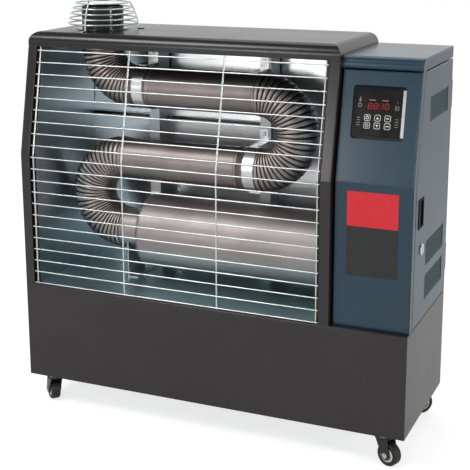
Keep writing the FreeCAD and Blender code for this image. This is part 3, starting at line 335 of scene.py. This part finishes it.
# Wider shader edges round the folds of the base, the posts and the cabinet. The lid and the flue
# have blacker heat-resistant coats.
bellows_steel = bellows_with_painted_groove_shade("heat_toned_bellows_steel")
coats = (
    (powder_coat("charcoal_powder_coat", *CHARCOAL, 0.25, edge_mm=3.0),
     ("base_shell", "base_deck", "left_end_panel", "right_partition")),
    (powder_coat("lid_heat_coat", "#131314", "#1a1a1b", 0.27), ("chamber_lid",)),
    (powder_coat("slate_powder_coat", "#173343", "#1f4051", 0.25, edge_mm=6.0),
     ("cabinet_front", "cabinet_lid", "cabinet_rear", "side_door")),
    (powder_coat("flue_heat_coat", "#0d0d0d", "#131212", 0.17), ("flue_stub",)),
    (powder_coat("tank_black_coat", "#161718", "#1e2021", 0.4), ("fuel_tank",)),
    (powder_coat("vent_screen_coat", "#33474a", "#40575a", 0.5, edge_mm=0.4), ("vent_screens",)),
    (powder_coat("motor_black_coat", "#1a1b1d", "#232528", 0.4), ("burner_motor",)),
    (drawn_steel("reflector_satin_steel", "#dfe2e5", "#ebedef", 0.28, "X", blotch_mm=160, streak=0.025),
     ("lower_reflector", "upper_reflector")),
    (edged_liner("liner_polished_steel"), ("left_liner", "right_liner")),
    (drawn_steel("floor_satin_steel", "#b8dbe2", "#cbebf0", 0.42, "X", blotch_mm=160), ("chamber_floor",)),
    (drawn_steel("heat_toned_pipe_steel", "#837a78", "#968e8c", 0.44, "X", blotch_mm=90),
     ("top_pipe", "middle_pipe")),
    (welded_drum("heat_toned_drum_steel"), ("combustion_drum",)),
    (bellows_steel, ("lower_elbow", "right_elbow", "flue_elbow")),
    (drawn_steel("bright_strip_steel", "#d2d4d6", "#e6e8e9", 0.32, "Z", blotch_mm=60),
     ("band_clamps", "pipe_brackets")),
    (drawn_steel("support_strip_steel", "#b4babe", "#c8cdd0", 0.55, "Z", blotch_mm=60), ("pipe_supports",)),
    (drawn_steel("zinc_coated_sheet", "#9da1a4", "#a9adaf", 0.42, "X", blotch_mm=35),
     ("base_floor_pan", "rear_panel", "caster_plates", "hinge_fixed_leaves", "hinge_door_leaves",
      "blower_wheel", "lock_cam")),
    (chrome_plate("guard_chrome_wire", "#c8cdcb", "#dde0df", 0.3), ("wire_guard", "flue_guard")),
    (chrome_plate("lock_chrome_plate", "#c6c8ca", "#e0e2e3", 0.1), ("lock_barrel",)),
    (moulded_plastic("bezel_gloss_plastic", "#0b0b0c", "#121214", 0.12, 0.02, edge_mm=0.4),
     ("control_bezel",)),
    (moulded_plastic("fascia_printed_film", "#171414", "#1e1a1a", 0.11, 0.02, edge_mm=0.2),
     ("control_fascia",)),
    (moulded_plastic("key_printed_film", "#191616", "#201d1d", 0.18, 0.03, edge_mm=0.4),
     ("key_power", "key_up", "key_mode", "key_timer", "key_down", "key_set")),
    (moulded_plastic("black_grained_plastic", "#0c0c0d", "#141415", 0.6, sheen=0.15),
     ("fuel_cap", "door_pull", "cable_inlet")),
    (drawn_steel("cast_aluminium", "#8c8f91", "#a2a5a7", 0.5, "Z", blotch_mm=12),
     ("burner_housing", "fuel_pump")),
    (two_field_enamel("two_field_enamel", PLATE_PARTING_Z), ("front_plate",)),
)


def dress(name, material):
    """Give a node one material."""
    slots = nodes[name].data.materials
    slots.clear()
    slots.append(material)


for material, names in coats:
    for name in names:
        dress(name, material)
for joint in frame["record"]["behaviour"]["joints"]:
    if joint["name"].startswith("roll_"):
        corner, centre, axle = joint["name"][len("roll_"):], joint["pos_m"], joint["axis"]
        dress("wheel_" + corner, caster_wheel_finish("caster_wheel_" + corner, centre, axle))
        dress("fork_" + corner, fork_finish("caster_fork_" + corner, centre, axle))


# Helpers for new pieces
def in_scene(name, data):
    """New object in the scene."""
    made = bpy.data.objects.new(name, data)
    bpy.context.scene.collection.objects.link(made)
    return made


def piece(name, bm, material, body, smooth=True):
    """Turn a bmesh in millimetres into a named piece that rides on a body."""
    mesh = bpy.data.meshes.new(name)
    bmesh.ops.scale(bm, vec=(MM, MM, MM), verts=bm.verts)
    bmesh.ops.recalc_face_normals(bm, faces=bm.faces)
    bm.to_mesh(mesh)
    bm.free()
    for face in mesh.polygons:
        face.use_smooth = smooth
    mesh.materials.append(material)
    made = in_scene(name, mesh)
    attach(made, body)
    return made


def wall(bm, low, high):
    """Join two closed rings of vertices with quads."""
    count = len(low)
    for i in range(count):
        j = (i + 1) % count
        bm.faces.new((low[i], low[j], high[j], high[i]))


def skin(bm, rings):
    """Join closed rings of points, one after another."""
    rows = [[bm.verts.new(p) for p in ring] for ring in rings]
    for low, high in zip(rows, rows[1:]):
        wall(bm, low, high)
    return rows


# Corrugated stainless bends: pleats with domed crests and narrow grooves, which carry painted shade
def corrugated_bend(name, centre, radius, start, turn, cuffs):
    around, steps, pleats = 96, 12, round(PLEATS_PER_HALF_TURN * turn / 180)
    crest, dome, groove_depth, groove_share, bore, cuff = 48.9, 0.8, 4.0, 0.34, 44.0, 47.5
    # Gain from the depth in a groove to the strength of the painted shade there
    groove_shade_gain = 1.2

    def ring(angle, along, size):
        outward = Vector((math.cos(angle), 0, math.sin(angle)))
        onward = Vector((-math.sin(angle), 0, math.cos(angle)))
        middle = Vector(centre) + outward * radius + onward * along
        points = []
        for i in range(around):
            a = 2 * math.pi * i / around
            points.append(middle + outward * (size * math.cos(a)) + Vector((0, size * math.sin(a), 0)))
        return points

    first, last = math.radians(start), math.radians(start + turn)
    rings = [ring(first, -cuffs[0], bore), ring(first, -cuffs[0], cuff), ring(first, 0, cuff)]
    depths = [0.0, 0.0, 0.0]
    for number in range(pleats):
        for step in range(steps):
            share = (step + 0.5) / steps
            off = abs(2 * share - 1)
            depth = max(0.0, (off - 1 + groove_share) / groove_share)
            size = crest - dome * off * off - groove_depth * math.sin(depth * math.pi / 2)
            rings.append(ring(first + (last - first) * (number + share) / pleats, 0, size))
            depths.append(depth)
    rings += [ring(last, 0, cuff), ring(last, cuffs[1], cuff), ring(last, cuffs[1], bore)]
    depths += [0.0, 0.0, 0.0]
    bm = bmesh.new()
    groove = bm.verts.layers.float.new("groove")
    for row, depth in zip(skin(bm, rings), depths):
        for vert in row:
            vert[groove] = min(1.0, depth * groove_shade_gain)
    made = piece("bellows_" + name, bm, bellows_steel, "heater")
    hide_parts(name)


CUFF, LONG_CUFF = 6, 40
corrugated_bend("lower_elbow", (LEFT_BEND_X, PIPE_Y, (DRUM_Z + MIDDLE_Z) / 2), RETURN_BEND_RADIUS, 90, 180,
                (CUFF, CUFF))
corrugated_bend("right_elbow", (RIGHT_BEND_X, PIPE_Y, (MIDDLE_Z + TOP_Z) / 2), RETURN_BEND_RADIUS, -90, 180,
                (LONG_CUFF, CUFF))
corrugated_bend("flue_elbow", (FLUE_BEND_X, PIPE_Y, TOP_Z + FLUE_BEND_RADIUS), FLUE_BEND_RADIUS, 180, 90,
                (CUFF, LONG_CUFF))


# Control panel prints, in millimetres across (u), up (v) and out of (w) the leaning panel
PANEL_Y = FRONT + CABINET_RECESS + (PANEL_RISE - KNEE_RISE) * math.tan(LEAN)
PANEL = Vector((PANEL_X, PANEL_Y, DECK + PANEL_RISE))
PANEL_UP = Vector((0, math.sin(LEAN), math.cos(LEAN)))
PANEL_OUT = Vector((0, -math.cos(LEAN), math.sin(LEAN)))
FASCIA_W, KEY_W, LENS_W = 3.4, 4.2, 2.9
INK, OVERLAP = 0.12, 0.01


def on_panel(u, v, w):
    """Place on the panel in millimetres."""
    return PANEL + Vector((u, 0, 0)) + PANEL_UP * v + PANEL_OUT * w


def flat_patch(bm, outline, w, lift=INK):
    """Thin raised print from a closed (u, v) outline."""
    low = [bm.verts.new(on_panel(u, v, w)) for u, v in outline]
    high = [bm.verts.new(on_panel(u, v, w + lift)) for u, v in outline]
    bm.faces.new(high)
    wall(bm, low, high)


def frame_patch(bm, outer, inner, w, lift=INK):
    """Thin raised outline between two closed lines with equal point counts."""
    rows = []
    for line, height in ((outer, w), (outer, w + lift), (inner, w + lift), (inner, w)):
        rows.append([on_panel(u, v, height) for u, v in line])
    skin(bm, rows)


def rounded_square(u, v, half, corner, steps=6):
    """Outline of a square with round corners."""
    points = []
    for quarter, (su, sv) in enumerate(((1, 1), (-1, 1), (-1, -1), (1, -1))):
        for step in range(steps + 1):
            a = math.pi / 2 * (quarter + step / steps)
            points.append((u + su * (half - corner) + corner * math.cos(a),
                           v + sv * (half - corner) + corner * math.sin(a)))
    return points


def ring_line(u, v, radius, steps=28):
    """Outline of a circle."""
    angles = [2 * math.pi * i / steps for i in range(steps)]
    return [(u + radius * math.cos(a), v + radius * math.sin(a)) for a in angles]


def bar(u, v, width, height):
    """Outline of a rectangle."""
    return [(u - width / 2, v - height / 2), (u + width / 2, v - height / 2),
            (u + width / 2, v + height / 2), (u - width / 2, v + height / 2)]


white_ink = printed_ink("white_key_ink", "#dfe1df", "#f1f2f0")
grey_ink = printed_ink("grey_panel_ink", "#7d7b78", "#94918d")
red_segment = lit_segment("red_display_segment", "#86141a", "#a01c22", 0.14)
# Painted glow: the unlit segments glow faintly though they are off.
dim_segment_painted_glow = lit_segment("dim_display_segment", "#3f1013", "#4a1417", 0.05)
display_lens = moulded_plastic("display_dark_lens", "#23090b", "#2c0c0e", 0.1, 0.01, edge_mm=0.1)


# Key signs, each in a rounded frame
def power_sign(bm, u, v):
    frame_patch(bm, ring_line(u, v, 3.3), ring_line(u, v, 2.3), KEY_W)
    flat_patch(bm, bar(u, v + 3.1, 1.0, 3.0), KEY_W + OVERLAP)


def clock_sign(bm, u, v):
    frame_patch(bm, ring_line(u, v, 3.5), ring_line(u, v, 2.8), KEY_W)
    flat_patch(bm, bar(u, v + 1.0, 0.7, 2.2), KEY_W)
    flat_patch(bm, bar(u + 0.9, v - 0.2, 1.8, 0.7), KEY_W + OVERLAP)


def up_sign(bm, u, v):
    flat_patch(bm, [(u - 2.6, v - 2.0), (u + 2.6, v - 2.0), (u, v + 2.6)], KEY_W)


def down_sign(bm, u, v):
    flat_patch(bm, [(u + 2.6, v + 2.0), (u - 2.6, v + 2.0), (u, v - 2.6)], KEY_W)


def bar_sign(bm, u, v):
    flat_patch(bm, bar(u, v, 6.4, 1.5), KEY_W)


COLUMN, ROW, FIRST = 20.8, 15.3, 10.5
FRAME_OUTSIDE, FRAME_INSIDE = (6.3, 2.9), (5.5, 2.2)
signs = (("key_power", -1, 0, power_sign), ("key_up", 0, 0, up_sign), ("key_mode", 1, 0, bar_sign),
         ("key_timer", -1, 1, clock_sign), ("key_down", 0, 1, down_sign), ("key_set", 1, 1, bar_sign))
for name, column, row, draw in signs:
    u, v = column * COLUMN, -FIRST - row * ROW
    bm = bmesh.new()
    frame_patch(bm, rounded_square(u, v, *FRAME_OUTSIDE), rounded_square(u, v, *FRAME_INSIDE), KEY_W)
    draw(bm, u, v)
    piece("mark_" + name, bm, white_ink, name, False)

# Display: dark lens with four seven-segment figures
DISPLAY_V, LENS_SIZE, LENS_LIFT, SEGMENT_LIFT = 13, (48.6, 17.6), 0.2, 0.08
FIGURE_FIRST, FIGURE_PITCH, FIGURE_LEAN = -17.0, 11.4, 0.1
bm = bmesh.new()
flat_patch(bm, bar(0, DISPLAY_V, *LENS_SIZE), LENS_W, LENS_LIFT)
piece("display_lens", bm, display_lens, "heater", False)


def figure(lit, dim, u, v, shown):
    """One seven-segment figure, 9 mm wide and 13 mm high, leaning a little."""
    half_w, half_h, thick = 3.6, 5.6, 1.5
    strokes = {"a": (0, half_h, True), "g": (0, 0, True), "d": (0, -half_h, True),
               "f": (-half_w, half_h / 2, False), "b": (half_w, half_h / 2, False),
               "e": (-half_w, -half_h / 2, False), "c": (half_w, -half_h / 2, False)}
    for key, (du, dv, flat) in strokes.items():
        size = (2 * half_w - 1.7, thick) if flat else (thick, half_h - 1.0)
        outline = [(p + FIGURE_LEAN * (q - v), q) for p, q in bar(u + du, v + dv, *size)]
        flat_patch(lit if key in shown else dim, outline, LENS_W + LENS_LIFT + OVERLAP, SEGMENT_LIFT)


lit, dim = bmesh.new(), bmesh.new()
for number, shown in enumerate(("abcdefg", "abcdefg", "bc", "abcdef")):
    figure(lit, dim, FIGURE_FIRST + FIGURE_PITCH * number, DISPLAY_V, shown)
piece("display_lit_segments", lit, red_segment, "heater", False)
piece("display_dim_segments", dim, dim_segment_painted_glow, "heater", False)

# Small grey signs and dashes beside the keys and above the display
DASH_U, SIGN_U = 39, 38
bm = bmesh.new()
for v in (-11, -16, -21, -26):
    for u in (-DASH_U, DASH_U):
        flat_patch(bm, bar(u, v, 7.0, 1.1), FASCIA_W)
for u in (-13, 13):
    flat_patch(bm, bar(u, 24.6, 13.0, 1.6), FASCIA_W)
frame_patch(bm, ring_line(-SIGN_U, 14, 4.2), ring_line(-SIGN_U, 14, 2.8), FASCIA_W)
flat_patch(bm, bar(-SIGN_U, 26.5, 2.0, 6.5), FASCIA_W)
flat_patch(bm, ring_line(-SIGN_U, 23, 2.2), FASCIA_W + OVERLAP)
frame_patch(bm, rounded_square(SIGN_U, 11, 4.0, 0.8), rounded_square(SIGN_U, 11, 2.9, 0.5), FASCIA_W)
flat_patch(bm, bar(SIGN_U, 11, 4.4, 1.0), FASCIA_W)
piece("panel_side_marks", bm, grey_ink, "heater", False)
# The flame lamp takes the same faint painted glow as the unlit segments.
bm = bmesh.new()
flat_patch(bm, ring_line(SIGN_U, 23, 2.6), FASCIA_W)
piece("panel_flame_lamp", bm, dim_segment_painted_glow, "heater", False)

# Camera at the photograph's angle, in metres and degrees
CAMERA_PLACE = (0.96399, -2.22993, 1.11483)
CAMERA_TURN, CAMERA_DIP, CAMERA_ROLL = 23.33, 12.71, -0.15
camera_data = bpy.data.cameras.new("camera")
camera = in_scene("camera", camera_data)
camera_data.sensor_width = 36.0
camera_data.lens = 85.31
camera_data.shift_y = -0.14
camera_data.clip_end = 100.0
camera.matrix_world = (Matrix.Translation(CAMERA_PLACE)
                       @ Matrix.Rotation(math.radians(CAMERA_TURN), 4, "Z")
                       @ Matrix.Rotation(math.radians(90 - CAMERA_DIP), 4, "X")
                       @ Matrix.Rotation(math.radians(CAMERA_ROLL), 4, "Z"))
bpy.context.scene.camera = camera


def ray_kinds(tree):
    """1 for rays that come straight from the camera or through glass, and 1 for mirrored rays."""
    path = add(tree, "ShaderNodeLightPath").outputs
    return calc(tree, "MAXIMUM", path["Is Camera Ray"], path["Is Transmission Ray"]), path["Is Glossy Ray"]


# Pale studio floor: white to the camera, paler than its own colour in metal, and it keeps the shadow
FLOOR_HALF = 40.0
bm = bmesh.new()
bmesh.ops.create_grid(bm, x_segments=1, y_segments=1, size=FLOOR_HALF)
floor_mesh = bpy.data.meshes.new("studio_floor")
bm.to_mesh(floor_mesh)
bm.free()
floor = in_scene("studio_floor", floor_mesh)

# Matt floor paper: an even pale surface with faint mottling of about 60 mm.
GLOW_TO_CAMERA, GLOW_IN_METAL = 0.69, 0.3
floor_paper, tree, shader, place = new_material(
    "white_floor_paper", Roughness=0.9, Specular_IOR_Level=0.0, Emission_Color=(1, 1, 1, 1))
direct, mirrored = ray_kinds(tree)
in_metal = calc(tree, "MULTIPLY", mirrored, GLOW_IN_METAL)
feed(tree, shader, Base_Color=two_tone(tree, noise(tree, place, size_mm=60), "#b4b4b4", "#bababa"),
     Emission_Strength=calc(tree, "MULTIPLY_ADD", direct, GLOW_TO_CAMERA, in_metal))
floor_mesh.materials.append(floor_paper)

# Studio: white to the camera; in metal white behind and beside the heater, dim above and behind the camera.
# The three ranges are parts of a direction of length 1, over which the white sets in.
LIGHT_ON_MATT, DIM_IN_METAL = 0.65, 0.25
FROM_ABOVE, FROM_CAMERA_SIDE, TO_HORIZON = (0.65, 0.3), (-0.75, -0.35), (0.2, 0.08)
world = bpy.data.worlds.new("white_studio")
bpy.context.scene.world = world
world.use_nodes = True
tree = world.node_tree
sky = tree.nodes["Background"]
sky.inputs["Color"].default_value = (1, 1, 1, 1)
way = split(tree, add(tree, "ShaderNodeTexCoord").outputs["Generated"])
paper = calc(tree, "MULTIPLY", rise(tree, way["Z"], *FROM_ABOVE), rise(tree, way["Y"], *FROM_CAMERA_SIDE))
white = calc(tree, "MAXIMUM", paper, rise(tree, way["Z"], *TO_HORIZON))
direct, mirrored = ray_kinds(tree)
on_metal = between(tree, white, DIM_IN_METAL, 1.0)
shaded = add(tree, "ShaderNodeMix", {0: mirrored, 2: LIGHT_ON_MATT, 3: on_metal})
level = add(tree, "ShaderNodeMix", {0: direct, 2: shaded.outputs[0], 3: 1.0})
tree.links.new(level.outputs[0], sky.inputs["Strength"])


# Soft lamps: a high key and a low fill from the left, a narrow one at the right, a wide one above
def soft_lamp(name, place, target, size, watts):
    data = bpy.data.lights.new(name, "AREA")
    data.shape = "RECTANGLE"
    data.size, data.size_y = size
    data.energy = watts
    lamp = in_scene(name, data)
    lamp.location = place
    lamp.rotation_euler = (Vector(target) - Vector(place)).to_track_quat("-Z", "Y").to_euler()


soft_lamp("key_lamp", (-1.55, -2.0, 3.05), (0, 0, 0.55), (1.2, 1.0), 44)
soft_lamp("low_lamp", (-1.08, -3.1, 1.14), (0, 0, 0.6), (0.6, 0.5), 12)
soft_lamp("right_lamp", (2.9, -0.9, 0.95), (0.3, 0, 0.6), (0.36, 0.8), 20)
soft_lamp("top_lamp", (0.0, 1.2, 3.0), (0, 0, 0.8), (2.6, 1.2), 18)

bpy.context.scene.view_settings.view_transform = "Standard"
